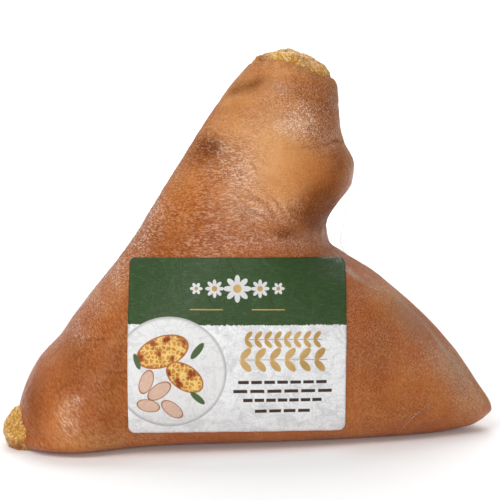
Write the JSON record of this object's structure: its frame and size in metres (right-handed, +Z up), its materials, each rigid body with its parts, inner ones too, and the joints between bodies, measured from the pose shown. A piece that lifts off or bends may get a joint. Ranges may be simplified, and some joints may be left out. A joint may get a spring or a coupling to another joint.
{
  "type": "ham on the bone",
  "caption": "Cooked half leg of pork on the bone, skin on, standing on its cut face in a tight clear bag with a paper label on the front.",
  "frame": {"origin": "middle of the base of the bounding box, on the plane of the flat cut face", "axes": "+Z up along the shank, labelled front towards -Y, thin flank tip towards +X"},
  "size_m": [0.2794, 0.1524, 0.2217],
  "materials": {
    "smoked_skin": "cooked and smoked pork skin, fine pores, satin under tight clear film",
    "printed_paper": "creased silvery label paper with printed fields of green and gold"
  },
  "bodies": {
    "root": {"ham_in_bag": "smoked_skin", "label": "printed_paper"}
  },
  "joints": []
}
